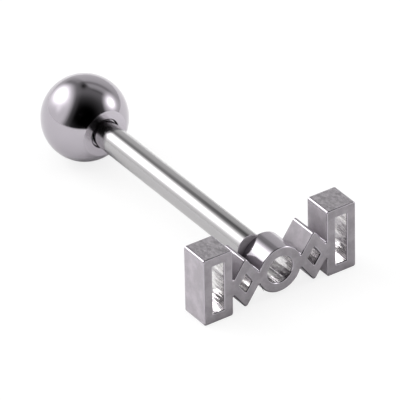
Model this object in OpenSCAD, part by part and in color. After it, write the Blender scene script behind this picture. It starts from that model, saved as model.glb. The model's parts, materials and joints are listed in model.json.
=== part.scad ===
// Tongue barbell: a straight post with a pierced ornamental head soldered on one end
// and a ball that screws on to the other. Millimetres, +Z up, the post along +Y.
// It lies level on a surface, on its ball and on the two end frames of its head.
// The origin is on that surface, below the middle of the whole length.

/* [Post] */
// Diameter of the post, which passes through the piercing
post_d = 1.6; // [1.2:0.1:2.4]
// Length of the post between the back of the head and the flat face of the ball
post_length = 14; // [8:0.5:24]
// How far the post is let into the back of the head where it is soldered
solder_depth = 0.15; // [0.05:0.05:0.5]

/* [Screw end] */
// Length of the plain screw end that the ball turns on to
screw_length = 2.6; // [1.2:0.1:3]
// Width of the shoulder between the post and its screw end
shoulder_w = 0.2; // [0.1:0.05:0.3]
// Length of the bevel on the tip of the screw end
screw_tip_bevel = 0.2; // [0.1:0.05:0.4]
// Gap all round the screw end in its hole, and round the post in the mouth of the hole
screw_clearance = 0.04; // [0.02:0.01:0.1]
// Gap between the shoulder and its seat in the ball, and past the tip of the screw end
end_gap = 0.05; // [0.03:0.01:0.2]

/* [Ball] */
// Diameter of the ball
ball_d = 5; // [4.5:0.5:7]
// Diameter of the flat face that surrounds the hole of the ball
face_d = 2.8; // [2.4:0.1:4]
// Depth of the bevelled mouth of the hole, which takes the shoulder of the post
mouth_depth = 0.15; // [0.1:0.05:0.4]
// How much wider than the post the mouth opens at the flat face, on each side
mouth_flare = 0.08; // [0.04:0.02:0.3]

/* [Head] */
// Depth of the head along the post
head_depth = 1.85; // [1:0.05:3]
// Width of the metal walls round every opening of the head
wall = 0.58; // [0.4:0.02:0.7]
// Width of each of the two end frames
end_frame_w = 1.9; // [1.6:0.1:3]
// How far the end frames rise above the middle of the post
end_frame_rise = 1.7; // [1:0.1:3]
// Width of each lozenge from side tip to side tip
lozenge_w = 2.2; // [2:0.1:3]
// Height of each lozenge from its lower tip to its upper tip
lozenge_h = 3; // [2.4:0.1:3.4]
// Outer diameter of the ring in the middle of the head
ring_d = 2.8; // [2.2:0.1:3.4]
// How far neighbouring shapes of the row are sunk into each other
row_overlap = 0.25; // [0.1:0.05:0.4]
// Radius of the rounded outer corners of the frames and lozenges
corner_r = 0.12; // [0.05:0.01:0.2]
// Angle up the left shoulder of the ring at which the post is soldered to its wall
solder_angle = 45; // [20:5:70]

/* [Hidden] */
$fn = 96;

// A cut runs this far past the surface that it opens
cut_past = 1;
screw_d = post_d - 2 * shoulder_w;
// The post lies level when its middle is as high as the ball's
post_z = ball_d / 2;

// Distance from the middle of the ball to its flat face
face_reach = sqrt(pow(ball_d / 2, 2) - pow(face_d / 2, 2));
total_length = head_depth + post_length + face_reach + ball_d / 2;
head_back_y = head_depth - total_length / 2;
face_y = head_back_y + post_length;
shoulder_y = face_y + mouth_depth - end_gap;
screw_tip_y = shoulder_y + screw_length;

// The row, from left to right: end frame, lozenge, ring, lozenge, end frame
lozenge_x = ring_d / 2 + lozenge_w / 2 - row_overlap;
end_frame_x = lozenge_x + lozenge_w / 2 + end_frame_w / 2 - row_overlap;
end_frame_h = post_z + end_frame_rise;

// The post is centred on the wall of the ring
ring_mean_r = (ring_d - wall) / 2;
post_x = -ring_mean_r * cos(solder_angle);
row_z = post_z - ring_mean_r * sin(solder_angle);

// Corners of a box and of a lozenge, both centred on the origin, counter-clockwise
function box_corners(w, h) =
    [for (s = [[-1, -1], [1, -1], [1, 1], [-1, 1]]) [s.x * w / 2, s.y * h / 2]];
function lozenge_corners(w, h) = [[-w / 2, 0], [0, -h / 2], [w / 2, 0], [0, h / 2]];

// Size of a lozenge whose edges all lie this far inside those of a lozenge w by h
function lozenge_inset(w, h, inset) = 1 - inset * sqrt(w * w + h * h) * 2 / (w * h);

// The outline through these corners, swelled by r so that every corner is an arc
module swelled(corners, r) {
    polygon(corners);
    for (i = [0 : len(corners) - 1]) {
        from = corners[i];
        to = corners[(i + 1) % len(corners)];
        translate(from) {
            circle(r = r);
            rotate(atan2(to.y - from.y, to.x - from.x))
                translate([0, -r]) square([norm(to - from), 2 * r]);
        }
    }
}

module end_frame_outline() {
    difference() {
        swelled(box_corners(end_frame_w - 2 * corner_r, end_frame_h - 2 * corner_r), corner_r);
        polygon(box_corners(end_frame_w - 2 * wall, end_frame_h - 2 * wall));
    }
}

module lozenge_outline() {
    core_w = lozenge_w - 2 * corner_r;
    core_h = lozenge_h - 2 * corner_r;
    window = lozenge_inset(core_w, core_h, wall - corner_r);
    difference() {
        swelled(lozenge_corners(core_w, core_h), corner_r);
        polygon(lozenge_corners(core_w * window, core_h * window));
    }
}

module ring_outline() {
    difference() {
        circle(d = ring_d);
        circle(d = ring_d - 2 * wall);
    }
}

// The pierced head, cut through along the post
module head() {
    translate([0, head_back_y, 0]) rotate([90, 0, 0]) linear_extrude(height = head_depth) {
        for (side = [-1, 1]) {
            translate([side * end_frame_x, end_frame_h / 2]) end_frame_outline();
            translate([side * lozenge_x, row_z]) lozenge_outline();
        }
        translate([0, row_z]) ring_outline();
    }
}

// Turns what is built along +Z so that it runs along the post from y
module along_post(y) {
    translate([post_x, y, post_z]) rotate([-90, 0, 0]) children();
}

module screw_end() {
    straight = screw_length - screw_tip_bevel;
    // Rooted in the post, so that the shoulder is one clean ring
    along_post(shoulder_y - shoulder_w)
        cylinder(d = screw_d, h = shoulder_w + straight);
    along_post(shoulder_y + straight)
        cylinder(d1 = screw_d, d2 = screw_d - 2 * screw_tip_bevel, h = screw_tip_bevel);
}

module post_with_head() {
    color([0.74, 0.72, 0.73]) {
        head();
        along_post(head_back_y - solder_depth)
            cylinder(d = post_d, h = shoulder_y - head_back_y + solder_depth);
        screw_end();
    }
}

module ball() {
    mouth_d = post_d + 2 * screw_clearance;
    bore_end = screw_tip_y + end_gap - face_y;
    color([0.8, 0.8, 0.81]) difference() {
        along_post(face_y + face_reach) sphere(d = ball_d);
        along_post(face_y - ball_d) cylinder(d = 2 * ball_d, h = ball_d);
        along_post(face_y)
            cylinder(d1 = mouth_d + 2 * mouth_flare, d2 = mouth_d, h = mouth_depth);
        along_post(face_y - cut_past)
            cylinder(d = screw_d + 2 * screw_clearance, h = bore_end + cut_past);
    }
}

post_with_head();
ball();
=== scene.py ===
"""Tongue barbell: a polished post with a pierced satin head and a mirror-polished ball.

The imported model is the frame. The head, the post and the ball are modelled again around it with
rounded edges, a thread and their finishes. Lengths are metres, and mm is one thousandth of them.
"""

import json
import math

import bmesh
import bpy
from mathutils import Matrix, Vector


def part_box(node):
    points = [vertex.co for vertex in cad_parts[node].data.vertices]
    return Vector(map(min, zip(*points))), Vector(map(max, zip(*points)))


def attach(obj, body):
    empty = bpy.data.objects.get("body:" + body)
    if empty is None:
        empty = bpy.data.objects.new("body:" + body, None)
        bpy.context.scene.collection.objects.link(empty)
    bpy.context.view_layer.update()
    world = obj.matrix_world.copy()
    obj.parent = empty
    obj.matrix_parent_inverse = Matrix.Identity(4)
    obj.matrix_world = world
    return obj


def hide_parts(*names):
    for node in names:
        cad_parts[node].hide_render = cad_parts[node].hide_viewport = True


bl_info = {
    "name": "Tongue Barbell",
    "version": (1, 0, 0),
    "blender": (4, 5, 0),
    "location": "View3D > Sidebar > Barbell",
    "description": "Models a tongue barbell around its frame and sets up its studio",
    "category": "Object",
}

mm = 0.001
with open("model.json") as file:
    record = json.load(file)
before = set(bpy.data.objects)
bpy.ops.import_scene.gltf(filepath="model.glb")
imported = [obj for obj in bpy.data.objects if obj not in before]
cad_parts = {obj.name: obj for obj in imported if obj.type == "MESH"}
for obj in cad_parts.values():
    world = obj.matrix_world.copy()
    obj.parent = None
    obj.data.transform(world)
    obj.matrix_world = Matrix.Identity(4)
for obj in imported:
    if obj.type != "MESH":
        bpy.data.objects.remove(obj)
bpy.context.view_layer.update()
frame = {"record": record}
BAR_LOW, BAR_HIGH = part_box("post_with_head")
BALL_LOW, BALL_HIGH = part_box("ball")
POST_MOUNT = next(m for m in frame["record"]["mounts"] if m["name"] == "post")
POST_X, _, POST_Z = POST_MOUNT["pos_m"]

# Corners of an outline are arcs of one step for each of these degrees
ARC_STEP = 10.0
RING_STEPS = 24
HOLE_STEPS = 96
ROUND_EDGE_STEPS = 4
RIM_STEPS = 3
POST_SIDES = 96
BALL_SIDES = 128
BALL_PROFILE_STEPS = 72
# Edges that turn by more than these degrees stay sharp in the shading
SHARP_ANGLE = 14.0
MERGE_DISTANCE = 0.0005 * mm


def length(name, description, default):
    """A size in metres that a user can change."""
    return bpy.props.FloatProperty(
        name=name, description=description, default=default, min=0, unit="LENGTH", precision=5
    )


def share(name, description, default, high=1.0):
    """A plain number from 0 up to high."""
    return bpy.props.FloatProperty(
        name=name, description=description, default=default, min=0, max=high
    )


def colour(name, description, default):
    """A colour in scene linear values."""
    return bpy.props.FloatVectorProperty(
        name=name, description=description, default=default, size=3, min=0, max=1, subtype="COLOR"
    )


def angle(name, description, degrees):
    """An angle, given in degrees and kept in radians."""
    return bpy.props.FloatProperty(
        name=name, description=description, default=math.radians(degrees), subtype="ANGLE"
    )


class BARBELL_PG_head(bpy.types.PropertyGroup):
    """Sizes of the pierced head"""

    depth: length("Depth", "Depth of the head along the post", 1.85 * mm)
    wall: length("Wall", "Width of the metal round every opening", 0.58 * mm)
    frame_width: length("Frame width", "Width of each end frame", 1.9 * mm)
    lozenge_width: length("Lozenge width", "Width from side tip to side tip", 2.2 * mm)
    lozenge_height: length("Lozenge height", "Height from tip to tip", 3.0 * mm)
    ring_diameter: length("Ring diameter", "Outer diameter of the ring", 2.8 * mm)
    overlap: length("Overlap", "How far neighbouring shapes sink into each other", 0.25 * mm)
    corner: length("Corner radius", "Radius of the outer corners", 0.15 * mm)
    window_corner: length("Window corner", "Radius in the corners of the windows", 0.04 * mm)
    solder_fillet: length("Solder fillet", "Radius where two shapes are joined", 0.06 * mm)
    edge: length("Edge radius", "Radius of the polished front and back edges", 0.06 * mm)


class BARBELL_PG_post(bpy.types.PropertyGroup):
    """Sizes of the post and its screw end"""

    radius: length("Radius", "Radius of the post", POST_MOUNT["dims"]["r_mm"] * mm)
    screw_radius: length("Screw radius", "Outer radius of the thread", 0.6 * mm)
    thread_depth: length("Thread depth", "Depth of the thread's grooves", 0.11 * mm)
    thread_pitch: length("Thread pitch", "Distance from groove to groove", 0.25 * mm)
    screw_length: length("Screw length", "Length of the screw end", 2.6 * mm)
    tip_bevel: length("Tip bevel", "Bevel of the screw's tip", 0.2 * mm)
    end_round: length("End round", "Radius of the edge of the post's front end", 0.07 * mm)
    shoulder_round: length("Shoulder round", "Radius of the shoulder's edge", 0.04 * mm)
    solder_depth: length("Solder depth", "How far the post is let into the head", 0.15 * mm)


class BARBELL_PG_ball(bpy.types.PropertyGroup):
    """Sizes of the ball and its hole"""

    radius: length("Radius", "Radius of the ball", (BALL_HIGH.z - BALL_LOW.z) / 2)
    face_radius: length("Face radius", "Radius of the flat face round the hole", 1.4 * mm)
    mouth_radius: length("Mouth radius", "Radius of the bevelled mouth", 0.92 * mm)
    seat_radius: length("Seat radius", "Radius of the seat that takes the shoulder", 0.84 * mm)
    mouth_depth: length("Mouth depth", "Depth of the bevelled mouth", 0.15 * mm)
    bore_radius: length("Bore radius", "Radius of the hole", 0.64 * mm)
    bore_depth: length("Bore depth", "Depth of the hole from the flat face", 2.75 * mm)


class BARBELL_PG_finish(bpy.types.PropertyGroup):
    """Colours and finishes of the steel"""

    polished: colour("Polished steel", "Colour of the polished steel", (0.44, 0.413, 0.45))
    post: colour("Post steel", "Colour of the polished post", (0.432, 0.423, 0.429))
    satin: colour("Satin steel", "Colour of the satin steel", (0.52, 0.492, 0.522))
    # Painted highlight: the near-white colour painted on the windows' streaks, for the light that
    # they reflect
    bright: colour("Painted highlight", "Palest colour inside the windows", (0.94, 0.93, 0.92))
    # Painted shade: a dark colour painted on the head's lower edges for the contact shadow that
    # they mirror
    dark: colour("Painted shade", "Colour of the head's lower edges", (0.088, 0.083, 0.09))
    ball_polish: share("Ball polish", "Roughness of the ball", 0.05)
    face_grain: share("Face grain", "Roughness of the ball's turned flat face", 0.13)
    post_polish: share("Post polish", "Roughness of the post", 0.1)
    satin_grain: share("Satin grain", "Roughness of the flat satin faces", 0.72)
    wall_polish: share("Wall polish", "Roughness inside the windows and round the ring", 0.12)
    edge_polish: share("Edge polish", "Roughness of the rounded edges", 0.12)


class BARBELL_PG_stage(bpy.types.PropertyGroup):
    """Camera, floor and studio light"""

    azimuth: angle("Azimuth", "Camera's turn round the barbell", -33.79)
    elevation: angle("Elevation", "Camera's height above the horizon", 33.40)
    roll: angle("Roll", "Camera's tilt about its own line of sight", -1.19)
    distance: length("Distance", "From the camera to its target", 300 * mm)
    view_width: length("View width", "Width seen at the target", 22.21 * mm)
    floor_colour: colour("Floor", "Colour of the floor", (0.90, 0.90, 0.90))
    floor_white: share("Floor white", "Brightness of the floor's white to the camera", 1.02, 10.0)
    shadow: share("Shadow", "How much of the soft shadows the camera sees on the floor", 0.2)
    walls: share("Walls", "Brightness of the pale walls of the studio", 1.07, 10.0)
    ceiling: share("Ceiling", "Brightness of the dark ceiling over the camera", 0.15, 10.0)
    key: share("Key light", "Brightness of the large softbox behind on the left", 4.8, 100.0)
    fill: share("Fill light", "Brightness of the small softbox on the right", 3.65, 100.0)
    overhead: share("Overhead light", "Watts of the wide lamp over the floor", 4.1, 100.0)


class Value:
    """A shader socket that takes part in sums as a number does."""

    def __init__(self, graph, socket):
        self.graph = graph
        self.socket = socket

    def math(self, operation, first, second=0.0):
        made = self.graph.node("ShaderNodeMath", {"operation": operation}, {0: first, 1: second})
        return Value(self.graph, made.outputs[0])

    def __add__(self, other):
        return self.math("ADD", self, other)

    def __radd__(self, other):
        return self.math("ADD", other, self)

    def __sub__(self, other):
        return self.math("SUBTRACT", self, other)

    def __rsub__(self, other):
        return self.math("SUBTRACT", other, self)

    def __mul__(self, other):
        return self.math("MULTIPLY", self, other)

    def __rmul__(self, other):
        return self.math("MULTIPLY", other, self)

    def ramp(self, low, high):
        """0 below low, 1 above high, and a smooth step between them."""
        made = self.graph.node(
            "ShaderNodeMapRange",
            {"interpolation_type": "SMOOTHSTEP"},
            {"Value": self, "From Min": low, "From Max": high},
        )
        return Value(self.graph, made.outputs["Result"])

    def fold(self, centre, half):
        """1 at centre, and down to 0 at half to both sides of it."""
        return self.ramp(centre - half, centre) - self.ramp(centre, centre + half)


class Graph:
    """Builds the nodes of one material or world."""

    def __init__(self, owner):
        owner.use_nodes = True
        self.tree = owner.node_tree
        self.tree.nodes.clear()

    def node(self, kind, settings=None, inputs=None):
        """Adds a node, sets its settings first and then the values or links of its sockets."""
        made = self.tree.nodes.new(kind)
        for name, setting in (settings or {}).items():
            setattr(made, name, setting)
        for name, given in (inputs or {}).items():
            given = given.socket if isinstance(given, Value) else given
            if isinstance(given, bpy.types.NodeSocket):
                self.tree.links.new(given, made.inputs[name])
            else:
                made.inputs[name].default_value = given
        return made

    def along(self, vector, axis):
        """How far a vector reaches along an axis."""
        made = self.node("ShaderNodeVectorMath", {"operation": "DOT_PRODUCT"}, {0: vector, 1: axis})
        return Value(self, made.outputs["Value"])

    def millimetres(self, stretch=(1, 1, 1)):
        """Object coordinates in millimetres, squeezed along each axis by stretch."""
        where = self.node("ShaderNodeTexCoord").outputs["Object"]
        scale = Vector(stretch) / mm
        return self.node("ShaderNodeMapping", None, {"Vector": where, "Scale": scale}).outputs[0]

    def centred(self, place):
        """Object coordinates in millimetres, measured from a place given in metres."""
        where = self.node("ShaderNodeTexCoord").outputs["Object"]
        settings = {"vector_type": "TEXTURE"}
        inputs = {"Vector": where, "Location": Vector(place), "Scale": Vector((mm, mm, mm))}
        return self.node("ShaderNodeMapping", settings, inputs).outputs[0]

    def noise(self, vector, scale, detail=2.0, roughness=0.5):
        made = self.node(
            "ShaderNodeTexNoise",
            None,
            {"Vector": vector, "Scale": scale, "Detail": detail, "Roughness": roughness},
        )
        return Value(self, made.outputs["Fac"])

    def tint(self, amount, low, high):
        """A colour that goes from low to high as amount goes from 0 to 1."""
        made = self.node("ShaderNodeMix", {"data_type": "RGBA"}, {"Factor": amount})
        made.inputs[6].default_value = (*low, 1)
        made.inputs[7].default_value = (*high, 1)
        return made.outputs[2]

    def bump(self, height, distance):
        inputs = {"Height": height, "Distance": distance, "Strength": 1.0}
        return self.node("ShaderNodeBump", None, inputs).outputs[0]

    def metal(self, base, roughness, normal):
        shader = self.node(
            "ShaderNodeBsdfPrincipled",
            None,
            {"Base Color": base, "Metallic": 1.0, "Roughness": roughness, "Normal": normal},
        )
        self.node("ShaderNodeOutputMaterial", None, {"Surface": shader.outputs[0]})


def scaled(rgb, factor):
    return tuple(min(1.0, channel * factor) for channel in rgb)


def polished_steel(name, rgb, roughness, grain=(1, 1, 1)):
    """Mirror-polished steel with faint rub marks and slight unevenness in its polish."""
    uneven, rub_height = 0.03, 0.0006 * mm
    steel = bpy.data.materials.new(name)
    graph = Graph(steel)
    rubs = graph.noise(graph.millimetres(grain), scale=14.0, detail=3.0)
    haze = graph.noise(graph.millimetres(), scale=0.9)
    base = graph.tint(haze, scaled(rgb, 1 - uneven), scaled(rgb, 1 + uneven))
    rubbed = rubs.ramp(0.45, 0.75) * 0.03
    hazed = haze.ramp(0.4, 0.7) * 0.02
    graph.metal(base, roughness + rubbed + hazed, graph.bump(rubs, rub_height))
    return steel


def satin_steel(name, shade):
    """Blasted satin steel, with a fine grain and cloudy patches a little darker. Its colour is
    scaled by the shade given, a painted light above 1 and a painted shade below 1, which makes lit
    and shaded copies of the same steel.
    """
    contrast, grain_height = 0.15, 0.006 * mm
    finish = bpy.context.scene.barbell_finish
    steel = bpy.data.materials.new(name)
    graph = Graph(steel)
    grain = graph.noise(graph.millimetres(), scale=16.0, detail=4.0, roughness=0.65)
    cloud = graph.noise(graph.millimetres(), scale=1.3, detail=4.0, roughness=0.6)
    mottle = cloud.ramp(0.35, 0.65) * 0.65 + grain.ramp(0.35, 0.7) * 0.35
    # Painted light and shade: the shade given scales the satin for lit and shaded copies
    dim, pale = scaled(finish.satin, shade - contrast), scaled(finish.satin, shade + contrast)
    rough = finish.satin_grain + cloud * 0.08 + grain.ramp(0.4, 0.7) * 0.06
    graph.metal(graph.tint(mottle, dim, pale), rough, graph.bump(grain, grain_height))
    return steel


def cut_steel(name):
    """Steel of the windows' walls, streaked along the post by the cut through the head. Its streaks
    run from dull satin up to a near-white painted highlight for the light that the walls reflect,
    over real streak bumps.
    """
    streak_stretch, pit_stretch = (1, 0.08, 1), (1, 0.4, 1)
    dull, streak_height, pit_share = 0.7, 0.1 * mm, 0.05
    finish = bpy.context.scene.barbell_finish
    steel = bpy.data.materials.new(name)
    graph = Graph(steel)
    where = graph.millimetres(streak_stretch)
    streaks = graph.noise(where, scale=2.2, detail=1.0, roughness=0.4)
    pits = graph.noise(graph.millimetres(pit_stretch), scale=9.0)
    # Painted highlights: the streaks and pits lift the colour towards near white
    wear_and_painted_light = streaks.ramp(0.42, 0.58) * 0.65 + pits.ramp(0.35, 0.65) * 0.35
    base = graph.tint(wear_and_painted_light, scaled(finish.satin, dull), finish.bright)
    rough = finish.wall_polish + pits.ramp(0.4, 0.7) * 0.14
    graph.metal(base, rough, graph.bump(streaks + pits * pit_share, streak_height))
    return steel


def turned_steel(name):
    """Steel left as it came off the lathe, with fine rings. It is painted paler than the polished
    ball: painted light on the flat face round the hole.
    """
    # Painted light: paler levels of the polished colour
    dim, pale, ring_height = 1.15, 1.35, 0.002 * mm
    finish = bpy.context.scene.barbell_finish
    steel = bpy.data.materials.new(name)
    graph = Graph(steel)
    rings = graph.node(
        "ShaderNodeTexWave",
        {"wave_type": "RINGS", "rings_direction": "Y"},
        {
            "Vector": graph.centred((POST_X, 0, POST_Z)),
            "Scale": 5.0,
            "Distortion": 1.5,
            "Detail": 2.0,
        },
    )
    marks = Value(graph, rings.outputs["Fac"])
    base = graph.tint(marks, scaled(finish.polished, dim), scaled(finish.polished, pale))
    rough = finish.face_grain + marks * 0.06
    graph.metal(base, rough, graph.bump(marks, ring_height))
    return steel


def tumbled_steel(name):
    """Satin steel with coarse cast grains that catch the light. Its dim and pale levels are painted
    light that sets the tops' brightness apart from the other satin faces, and its pale grains are
    painted glints as well as bumps.
    """
    grain_stretch, grain_height = (1, 0.6, 1), 0.05 * mm
    # Painted light: the tops' own dim and pale levels of the satin
    dim, pale, smoother = 0.7, 1.2, 0.65
    finish = bpy.context.scene.barbell_finish
    steel = bpy.data.materials.new(name)
    graph = Graph(steel)
    where = graph.millimetres(grain_stretch)
    grains = graph.noise(where, scale=7.0, detail=3.0, roughness=0.6)
    cloud = graph.noise(graph.millimetres(), scale=1.6, detail=3.0)
    wear_and_painted_light = grains.ramp(0.35, 0.65) * 0.7 + cloud.ramp(0.35, 0.65) * 0.3
    base = graph.tint(wear_and_painted_light, scaled(finish.satin, dim), scaled(finish.satin, pale))
    rough = finish.satin_grain * smoother - wear_and_painted_light * 0.12
    graph.metal(base, rough, graph.bump(grains, grain_height))
    return steel


def finish_piece(bm, name, body, node, materials):
    """Turns a bmesh into a piece that rides on a body and stands for a node of the frame."""
    for face in bm.faces:
        face.smooth = True
    for edge in bm.edges:
        if edge.is_manifold and edge.calc_face_angle() > math.radians(SHARP_ANGLE):
            edge.smooth = False
    mesh = bpy.data.meshes.new(name)
    bm.to_mesh(mesh)
    bm.free()
    for material in materials:
        mesh.materials.append(material)
    piece = bpy.data.objects.new(name, mesh)
    bpy.context.scene.collection.objects.link(piece)
    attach(piece, body)
    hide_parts(node)
    return piece


def arc(centre, radius, start, end, steps):
    """Points from the angle start to the angle end, in degrees, both ends included."""
    turn = (end - start) / steps
    return [
        Vector(
            (
                centre.x + radius * math.cos(math.radians(start + turn * i)),
                centre.y + radius * math.sin(math.radians(start + turn * i)),
            )
        )
        for i in range(steps + 1)
    ]


def rounded(corners):
    """The outline through corners, each a point and a radius, with its corners made arcs."""
    outline = []
    for i, (corner, radius) in enumerate(corners):
        back = (corners[i - 1][0] - corner).normalized()
        on = (corners[(i + 1) % len(corners)][0] - corner).normalized()
        if not radius:
            outline.append(corner)
            continue
        half = back.angle(on) / 2
        centre = corner + (back + on).normalized() * radius / math.sin(half)
        first = corner + back * radius / math.tan(half) - centre
        last = corner + on * radius / math.tan(half) - centre
        sweep = math.degrees(math.atan2(first.cross(last), first.dot(last)))
        start = math.degrees(math.atan2(first.y, first.x))
        steps = max(2, round(abs(sweep) / ARC_STEP))
        outline += arc(centre, radius, start, start + sweep, steps)
    return outline


def box_corners(centre, width, height, radius):
    return [
        (centre + Vector((x * width / 2, z * height / 2)), radius)
        for x, z in ((-1, -1), (1, -1), (1, 1), (-1, 1))
    ]


class HeadPlan:
    """The head's outline and windows, drawn from the front: x to the right and z up."""

    def __init__(self, sizes):
        self.sizes = sizes
        self.top = BAR_HIGH.z
        self.end = BAR_HIGH.x
        ring = sizes.ring_diameter / 2
        self.row_z = POST_Z - math.sqrt((ring - sizes.wall / 2) ** 2 - POST_X**2)
        self.lozenge_x = ring + sizes.lozenge_width / 2 - sizes.overlap
        # The lozenge's sides go on past its round tips to sharp ones. These, and the tips of its
        # window, are this far from its middle.
        core = Vector((sizes.lozenge_width, sizes.lozenge_height)) / 2
        core -= Vector((sizes.corner, sizes.corner))
        slope = core.length / (core.x * core.y)
        self.sharp = core * (1 + sizes.corner * slope)
        self.pane = core * (1 - (sizes.wall - sizes.corner) * slope)

    def ring_meets_lozenge(self):
        """Angle on the ring, in degrees, at which the lozenge's inner side crosses it."""
        ring = self.sizes.ring_diameter / 2
        start = Vector((self.lozenge_x, self.sharp.y))
        way = Vector((-self.sharp.x, -self.sharp.y))
        half = start.dot(way) / way.length_squared
        root = math.sqrt(half**2 - (start.length_squared - ring**2) / way.length_squared)
        cross = start + way * (-half - root)
        return math.degrees(math.atan2(cross.y, cross.x))

    def half_outline(self):
        """Corners of the right half, from the top of the ring round to its bottom."""
        sizes = self.sizes
        middle = Vector((0, self.row_z))
        meets = self.ring_meets_lozenge()
        ring = arc(middle, sizes.ring_diameter / 2, 90, meets, RING_STEPS)
        inner_x = self.end - sizes.frame_width
        neck = self.sharp.y * (1 - (inner_x - self.lozenge_x) / self.sharp.x)
        upper = [(point, 0) for point in ring[:-1]]
        upper += [
            (ring[-1], sizes.solder_fillet),
            (Vector((self.lozenge_x, self.row_z + self.sharp.y)), sizes.corner),
            (Vector((inner_x, self.row_z + neck)), sizes.solder_fillet),
        ]
        frame_corners = [
            (Vector((inner_x, self.top)), sizes.corner),
            (Vector((self.end, self.top)), sizes.corner),
            (Vector((self.end, 0)), sizes.corner),
            (Vector((inner_x, 0)), sizes.corner),
        ]
        lower = [
            (Vector((point.x, 2 * self.row_z - point.y)), radius)
            for point, radius in reversed(upper)
        ]
        return upper + frame_corners + lower

    def outline(self):
        right = self.half_outline()
        left = [(Vector((-point.x, point.y)), radius) for point, radius in reversed(right)]
        return rounded(right[1:] + left[1:])

    def windows(self):
        sizes = self.sizes
        frame_x = self.end - sizes.frame_width / 2
        hole = sizes.ring_diameter / 2 - sizes.wall
        panes = [arc(Vector((0, self.row_z)), hole, 0, 360, HOLE_STEPS)[:-1]]
        for side in (-1, 1):
            frame_middle = Vector((side * frame_x, self.top / 2))
            wide = sizes.frame_width - 2 * sizes.wall
            high = self.top - 2 * sizes.wall
            panes.append(rounded(box_corners(frame_middle, wide, high, sizes.window_corner)))
            middle = Vector((side * self.lozenge_x, self.row_z))
            tips = ((-1, 0), (0, -1), (1, 0), (0, 1))
            pane = [
                (middle + Vector((x * self.pane.x, z * self.pane.y)), sizes.window_corner)
                for x, z in tips
            ]
            panes.append(rounded(pane))
        return panes


def draw_loop(bm, points, y):
    """A closed loop of edges through points, at y."""
    verts = [bm.verts.new((point.x, y, point.y)) for point in points]
    return [bm.edges.new((verts[i - 1], verts[i])) for i in range(len(verts))]


def round_rim(bm, faces, way, radius):
    """Rounds the edge of a flat cap that faces way along Y, by insets along a quarter circle."""
    quarter = [math.pi / 2 * i / RIM_STEPS for i in range(RIM_STEPS + 1)]
    rim = []
    for low, high in zip(quarter, quarter[1:]):
        inset = bmesh.ops.inset_region(
            bm,
            faces=faces,
            use_boundary=True,
            use_even_offset=True,
            thickness=radius * (math.cos(low) - math.cos(high)),
        )
        rim += inset["faces"]
        flat = {vert for face in faces for vert in face.verts}
        rise = radius * (math.sin(high) - math.sin(low))
        bmesh.ops.translate(bm, verts=list(flat), vec=(0, way * rise, 0))
    return rim


# Places of the head's materials
SATIN_PAINTED_SHADE, CUT, POLISHED, TUMBLED_PAINTED_LIGHT_TOPS, PAINTED_LIGHT_SIDES, PAINTED_SHADE_EDGES = range(6)


class BARBELL_OT_head(bpy.types.Operator):
    """Model the pierced head, cut through along the post, with rounded and polished edges"""

    bl_idname = "barbell.head"
    bl_label = "Head"

    # A wall narrower than this is part of a rounded corner
    corner_step = 0.03 * mm
    ring_tolerance = 0.01 * mm
    # A rim that faces down by more than this share is a lower edge, which gets a painted shade
    facing_down = 0.1

    def execute(self, context):
        sizes = context.scene.barbell_head
        finish = context.scene.barbell_finish
        plan = HeadPlan(sizes)
        bm = bmesh.new()
        front = BAR_LOW.y + sizes.edge
        edges = draw_loop(bm, plan.outline(), front)
        outer_verts = set(bm.verts)
        for pane in plan.windows():
            edges += draw_loop(bm, pane, front)
        filled = bmesh.ops.triangle_fill(bm, use_beauty=True, edges=edges, normal=(0, -1, 0))
        cap = [face for face in filled["geom"] if isinstance(face, bmesh.types.BMFace)]
        grown = bmesh.ops.extrude_face_region(bm, geom=cap, use_keep_orig=True)
        moved = [vert for vert in grown["geom"] if isinstance(vert, bmesh.types.BMVert)]
        thick = sizes.depth - 2 * sizes.edge
        bmesh.ops.translate(bm, verts=moved, vec=(0, thick, 0))
        bmesh.ops.recalc_face_normals(bm, faces=bm.faces)
        for face in bm.faces:
            if abs(face.normal.y) < 0.5:
                face.material_index = self.wall_finish(plan, face, thick, outer_verts)
        for way in (-1, 1):
            flat = [face for face in bm.faces if face.normal.y * way > 0.99]
            for face in round_rim(bm, flat, way, sizes.edge):
                face.normal_update()
                # Lower rims that face down get the dark colour: a painted shade for the contact
                # shadow that they mirror
                low = face.calc_center_median().z < plan.row_z
                dark = low and face.normal.z < -self.facing_down
                face.material_index = PAINTED_SHADE_EDGES if dark else POLISHED
        materials = [
            # Painted shade on the satin fronts and backs
            satin_steel("satin_faces_painted_shade", 0.95),
            # Painted highlights on the windows' walls
            cut_steel("cut_walls_painted_highlight"),
            polished_steel("polished_edges", finish.polished, finish.edge_polish),
            # Painted light on the tumbled tops
            tumbled_steel("tumbled_tops_painted_light"),
            # Painted light on the satin sides
            satin_steel("satin_sides_painted_light", 1.12),
            # Painted shade on the lower edges
            polished_steel("painted_shade_lower_edges", finish.dark, finish.edge_polish),
        ]
        finish_piece(bm, "head", "bar", "post_with_head", materials)
        return {"FINISHED"}

    def wall_finish(self, plan, face, thick, outer_verts):
        """Windows with painted highlights, polished corners and ring, and satin sides and tumbled
        tops that both carry painted light.
        """
        middle = face.calc_center_median()
        from_ring = math.hypot(middle.x, middle.z - plan.row_z)
        if face.calc_area() < self.corner_step * thick:
            return POLISHED
        if not any(vert in outer_verts for vert in face.verts):
            return CUT
        if from_ring < plan.sizes.ring_diameter / 2 + self.ring_tolerance:
            return POLISHED
        return TUMBLED_PAINTED_LIGHT_TOPS if abs(face.normal.z) > 0.9 else PAINTED_LIGHT_SIDES


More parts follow.
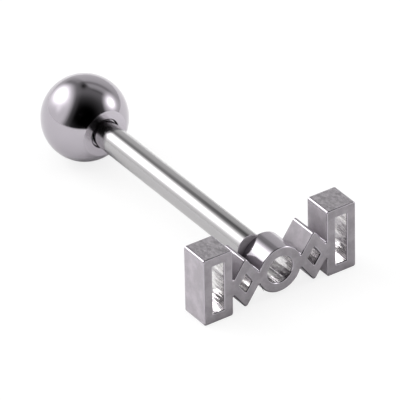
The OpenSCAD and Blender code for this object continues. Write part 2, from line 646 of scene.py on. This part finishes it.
def spin_profile(bm, profile, centre, steps):
    """Spins a profile of (radius, distance along +Y) about the line through centre along Y."""
    verts = [bm.verts.new((centre.x + r, centre.y + y, centre.z)) for r, y in profile]
    edges = [bm.edges.new(pair) for pair in zip(verts, verts[1:])]
    bmesh.ops.spin(
        bm,
        geom=verts + edges,
        cent=centre,
        axis=(0, 1, 0),
        angle=2 * math.pi,
        steps=steps,
        use_merge=True,
    )
    bmesh.ops.remove_doubles(bm, verts=bm.verts, dist=MERGE_DISTANCE)
    bmesh.ops.recalc_face_normals(bm, faces=bm.faces)


def round_profile(centre, radius, start, end, steps=ROUND_EDGE_STEPS):
    """Profile points on an arc, as (radius, distance along the post)."""
    return [tuple(point) for point in arc(Vector(centre), radius, start, end, steps)]


class BARBELL_OT_post(bpy.types.Operator):
    """Model the polished post, its shoulder and its threaded screw end"""

    bl_idname = "barbell.post"
    bl_label = "Post"

    # Half the width of the thread's crests, as a share of its pitch
    crest_share = 0.08
    # The rub marks of the post run along it
    lengthwise = (1, 0.04, 1)
    # The post's front end is a lit copy of the satin: painted light against the shade of the
    # crevice in the head where it sits
    end_shade = 1.3

    def execute(self, context):
        sizes = context.scene.barbell_post
        head = context.scene.barbell_head
        finish = context.scene.barbell_finish
        root = Vector((POST_X, BAR_LOW.y + head.depth - sizes.solder_depth, POST_Z))
        tip = BAR_HIGH.y - root.y
        shoulder = tip - sizes.screw_length
        r = sizes.shoulder_round
        groove = sizes.screw_radius - sizes.thread_depth
        end = sizes.end_round
        crest = sizes.thread_pitch * self.crest_share
        profile = [(0, 0)] + round_profile((sizes.radius - end, end), end, -90, 0)
        profile += round_profile((sizes.radius - r, shoulder - r), r, 0, 90)
        profile += [(groove, shoulder), (groove, shoulder + sizes.thread_pitch * 0.5)]
        turn = shoulder + sizes.thread_pitch
        while turn < tip - sizes.tip_bevel:
            profile += [(sizes.screw_radius, turn - crest), (sizes.screw_radius, turn + crest)]
            profile += [(groove, turn + sizes.thread_pitch * 0.5)]
            turn += sizes.thread_pitch
        profile += [(sizes.screw_radius - sizes.tip_bevel, tip), (0, tip)]
        bm = bmesh.new()
        spin_profile(bm, profile, root, POST_SIDES)
        for face in bm.faces:
            if face.calc_center_median().y < root.y + end:
                face.material_index = 1
        steel = polished_steel("polished_post", finish.post, finish.post_polish, self.lengthwise)
        materials = [steel, satin_steel("satin_end_painted_light", self.end_shade)]
        finish_piece(bm, "post", "bar", "post_with_head", materials)
        return {"FINISHED"}


class BARBELL_OT_ball(bpy.types.Operator):
    """Model the mirror-polished ball with its flat face, bevelled mouth and hole"""

    bl_idname = "barbell.ball"
    bl_label = "Ball"

    # The hole's faces end within this distance of its far end
    past_bore = 0.05 * mm

    def execute(self, context):
        sizes = context.scene.barbell_ball
        finish = context.scene.barbell_finish
        face_y = BALL_LOW.y
        reach = math.sqrt(sizes.radius**2 - sizes.face_radius**2)
        centre = Vector((POST_X, face_y + reach, POST_Z))
        edge_angle = math.degrees(math.asin(reach / sizes.radius))
        outside = round_profile((0, 0), sizes.radius, 90, -edge_angle, BALL_PROFILE_STEPS)
        profile = [(0, sizes.radius)] + outside[1:]
        profile[-1] = (sizes.face_radius, -reach)
        profile += [
            (sizes.mouth_radius, -reach),
            (sizes.seat_radius, -reach + sizes.mouth_depth),
            (sizes.bore_radius, -reach + sizes.mouth_depth),
            (sizes.bore_radius, -reach + sizes.bore_depth),
            (0, -reach + sizes.bore_depth),
        ]
        bm = bmesh.new()
        spin_profile(bm, profile, centre, BALL_SIDES)
        for face in bm.faces:
            middle = face.calc_center_median() - centre
            in_mouth = math.hypot(middle.x, middle.z) < sizes.face_radius
            if in_mouth and middle.y < sizes.bore_depth - reach + self.past_bore:
                face.material_index = 1
        materials = [
            polished_steel("polished_ball", finish.polished, finish.ball_polish),
            turned_steel("turned_face_painted_light"),
        ]
        finish_piece(bm, "ball_polished", "ball", "ball", materials)
        return {"FINISHED"}


# Soft patches of the studio: direction, half width, half height and turn in degrees
KEY = (Vector((-0.378, 0.732, 0.567)), 20.8, 13.8, 37)
FILL = (Vector((0.835, -0.332, 0.439)), 11.0, 12.1, 69)
SPILL = (Vector((-0.785, 0.47, 0.42)), 8.0, 8.0, 0)
SEAM = (Vector((0.19, 0.885, 0.42)), 6.5, 12.0, 0)
LAMP_ARM = (Vector((0.275, 0.44, 0.855)), 5.5, 9.5, 0)
GAP = (Vector((0.29, 0.70, 0.65)), 5.5, 5.5, 0)

# Directions along which the dark ceiling and the pale walls change
TO_BACK = Vector((0.549, 0.783, -0.294))
FROM_LEFT = Vector((0.660, -0.664, -0.351))
TO_RIGHT_EDGE = Vector((0.869, -0.405, 0.286))
CEILING_RISE = Vector((0.449, 0.710, -0.543))
TO_SIDE = Vector((1, 0, 0))
UP = Vector((0, 0, 1))


class BARBELL_OT_stage(bpy.types.Operator):
    """Set up the floor, the soft studio light and the camera"""

    bl_idname = "barbell.stage"
    bl_label = "Stage"

    floor_radius = 0.3
    floor_sides = 64
    # The floor lies this far below the barbell
    floor_gap = 0.002 * mm
    lamp_width = 1.2
    lamp_height = 0.6
    # How much light the seam takes away, and how much the spill adds
    seam_shade = 0.5
    spill_light = 0.4
    camera_target = Vector((1.716, 0, 0.094)) * mm
    sensor_width = 36

    def execute(self, context):
        sizes = context.scene.barbell_stage
        self.make_floor(sizes)
        self.make_room(context.scene, sizes)
        self.make_overhead(context.scene, sizes)
        self.make_camera(context.scene, sizes)
        context.scene.view_settings.view_transform = "Standard"
        return {"FINISHED"}

    def make_floor(self, sizes):
        bm = bmesh.new()
        bmesh.ops.create_circle(
            bm, cap_ends=True, segments=self.floor_sides, radius=self.floor_radius
        )
        bmesh.ops.translate(bm, verts=bm.verts, vec=(0, 0, -self.floor_gap))
        mesh = bpy.data.meshes.new("floor")
        bm.to_mesh(mesh)
        bm.free()
        paper = bpy.data.materials.new("pale_floor")
        graph = Graph(paper)
        shader = graph.node(
            "ShaderNodeBsdfPrincipled",
            None,
            {
                "Base Color": (*sizes.floor_colour, 1),
                "Roughness": 0.9,
                "Specular IOR Level": 0.0,
            },
        )
        white = graph.node("ShaderNodeEmission", None, {"Strength": sizes.floor_white})
        seen = Value(graph, graph.node("ShaderNodeLightPath").outputs["Is Camera Ray"])
        inputs = {0: seen * (1 - sizes.shadow), 1: shader.outputs[0], 2: white.outputs[0]}
        mixed = graph.node("ShaderNodeMixShader", None, inputs)
        graph.node("ShaderNodeOutputMaterial", None, {"Surface": mixed.outputs[0]})
        mesh.materials.append(paper)
        floor = bpy.data.objects.new("floor", mesh)
        bpy.context.scene.collection.objects.link(floor)

    def make_overhead(self, scene, sizes):
        """A wide lamp over the floor, which the polished metal doesn't mirror."""
        lamp = bpy.data.lights.new("overhead", "AREA")
        lamp.shape = "DISK"
        lamp.size = self.lamp_width
        lamp.energy = sizes.overhead
        overhead = bpy.data.objects.new("overhead", lamp)
        scene.collection.objects.link(overhead)
        overhead.location.z = self.lamp_height
        overhead.visible_glossy = False

    def make_room(self, scene, sizes):
        """Pale walls and a dark ceiling, with two glowing softboxes, all on the world."""
        world = bpy.data.worlds.new("studio")
        scene.world = world
        graph = Graph(world)
        way = graph.node("ShaderNodeTexCoord").outputs["Generated"]
        to_back = graph.along(way, TO_BACK)
        dark = self.dark_part(graph, way, to_back)
        walls = self.walls(graph, way, to_back, sizes)
        light = walls + dark * (self.ceiling(graph, way, to_back) * sizes.ceiling - walls)
        key, fill, seam, spill = (
            self.glow(graph, way, *patch) for patch in (KEY, FILL, SEAM, SPILL)
        )
        light = (light + key * sizes.key + fill * sizes.fill) * (1 - seam * self.seam_shade)
        light = light + spill * self.spill_light
        inputs = {"Color": (1, 1, 1, 1), "Strength": light}
        back = graph.node("ShaderNodeBackground", None, inputs)
        graph.node("ShaderNodeOutputWorld", None, {"Surface": back.outputs[0]})

    def dark_part(self, graph, way, to_back):
        """1 on the dark ceiling and the black wall behind the camera, 0 on the pale walls."""
        from_left = graph.along(way, FROM_LEFT)
        left_edge = from_left.ramp(-0.82, -0.57) * 0.93 + from_left.ramp(-0.6, -0.4) * 0.07
        right_edge = 1 - graph.along(way, TO_RIGHT_EDGE).ramp(0.82, 0.94)
        far_edge = 1 - to_back.ramp(0.5, 0.72) * 0.47 - to_back.ramp(0.68, 1.1) * 0.35
        lower_edge = graph.along(way, UP).ramp(0.01, 0.065)
        return left_edge * right_edge * far_edge * lower_edge

    def walls(self, graph, way, to_back, sizes):
        """The pale walls, a little darker on the right, beside the camera and at the back."""
        to_camera = Vector((math.sin(sizes.azimuth), -math.cos(sizes.azimuth), 0))
        to_right = Vector((math.cos(sizes.azimuth), math.sin(sizes.azimuth), 0))
        toward = graph.along(way, to_camera)
        falloff = graph.along(way, to_right) * 0.17 + toward.ramp(-0.9, -0.3) * 0.17
        falloff = falloff + to_back.ramp(0.5, 0.75) * 0.1
        return (1 - falloff) * sizes.walls

    def ceiling(self, graph, way, to_back):
        """Black behind the camera, lighter towards the back, with a panel on the right.

        A lamp arm and two beams are darker lines on it, and a gap beside the arm is lighter.
        """
        to_side = graph.along(way, TO_SIDE).ramp(0.34, 0.46)
        rise = graph.along(way, CEILING_RISE).ramp(-0.96, -0.33)
        panel = to_back.ramp(0.08, 0.28) * to_side
        gap = self.glow(graph, way, *GAP)
        levels = rise + to_back.ramp(-0.45, 0.0) * 0.47 + panel * 2.2 + gap * 1.6
        arm = self.glow(graph, way, *LAMP_ARM)
        back_beam = to_back.fold(0.47, 0.12) * (to_side * 0.15 + 0.2)
        front_beam = to_back.fold(0.07, 0.08) * to_side * 0.2
        return levels * (1 - arm * 0.85) * (1 - back_beam) * (1 - front_beam)

    def glow(self, graph, way, middle, half_width, half_height, turn):
        """A soft patch round the direction middle, with its half sizes and turn in degrees.

        It is 1 at its middle and has a third of that left at its half sizes.
        """
        middle = middle.normalized()
        level = UP.cross(middle).normalized()
        side = Matrix.Rotation(math.radians(turn), 3, middle) @ level
        across = graph.along(way, side / math.sin(math.radians(half_width)))
        upward = graph.along(way, middle.cross(side) / math.sin(math.radians(half_height)))
        spread = across * across + upward * upward
        return spread.math("EXPONENT", 0 - spread) * graph.along(way, middle).ramp(0.0, 0.1)

    def make_camera(self, scene, sizes):
        a, e = sizes.azimuth, sizes.elevation
        back = Vector((math.sin(a) * math.cos(e), -math.cos(a) * math.cos(e), math.sin(e)))
        right = Vector((math.cos(a), math.sin(a), 0))
        turn = Matrix.Rotation(sizes.roll, 3, back)
        right = turn @ right
        up = back.cross(right)
        data = bpy.data.cameras.new("camera")
        data.sensor_width = self.sensor_width
        data.lens = data.sensor_width * sizes.distance / sizes.view_width
        data.clip_start = 1 * mm
        data.clip_end = 10
        camera = bpy.data.objects.new("camera", data)
        scene.collection.objects.link(camera)
        place = Matrix((right, up, back)).transposed().to_4x4()
        place.translation = self.camera_target + back * sizes.distance
        camera.matrix_world = place
        scene.camera = camera


class BARBELL_PT_panel(bpy.types.Panel):
    """Lists the pieces and their sizes"""

    bl_label = "Tongue Barbell"
    bl_idname = "BARBELL_PT_panel"
    bl_space_type = "VIEW_3D"
    bl_region_type = "UI"
    bl_category = "Barbell"

    def draw(self, context):
        for group, operator in PIECES:
            box = self.layout.box()
            settings = getattr(context.scene, group)
            for name in settings.__annotations__:
                box.prop(settings, name)
            if operator:
                box.operator(operator)


# Each group of settings, with the operator that it feeds
PIECES = (
    ("barbell_finish", None),
    ("barbell_head", "barbell.head"),
    ("barbell_post", "barbell.post"),
    ("barbell_ball", "barbell.ball"),
    ("barbell_stage", "barbell.stage"),
)
GROUPS = {
    "barbell_finish": BARBELL_PG_finish,
    "barbell_head": BARBELL_PG_head,
    "barbell_post": BARBELL_PG_post,
    "barbell_ball": BARBELL_PG_ball,
    "barbell_stage": BARBELL_PG_stage,
}
CLASSES = (
    *GROUPS.values(),
    BARBELL_OT_head,
    BARBELL_OT_post,
    BARBELL_OT_ball,
    BARBELL_OT_stage,
    BARBELL_PT_panel,
)


def register():
    for cls in CLASSES:
        bpy.utils.register_class(cls)
    for name, group in GROUPS.items():
        setattr(bpy.types.Scene, name, bpy.props.PointerProperty(type=group))


def unregister():
    for name in GROUPS:
        delattr(bpy.types.Scene, name)
    for cls in reversed(CLASSES):
        bpy.utils.unregister_class(cls)


def main():
    register()
    bpy.ops.barbell.stage()
    bpy.ops.barbell.head()
    bpy.ops.barbell.post()
    bpy.ops.barbell.ball()


if __name__ == "__main__":
    main()
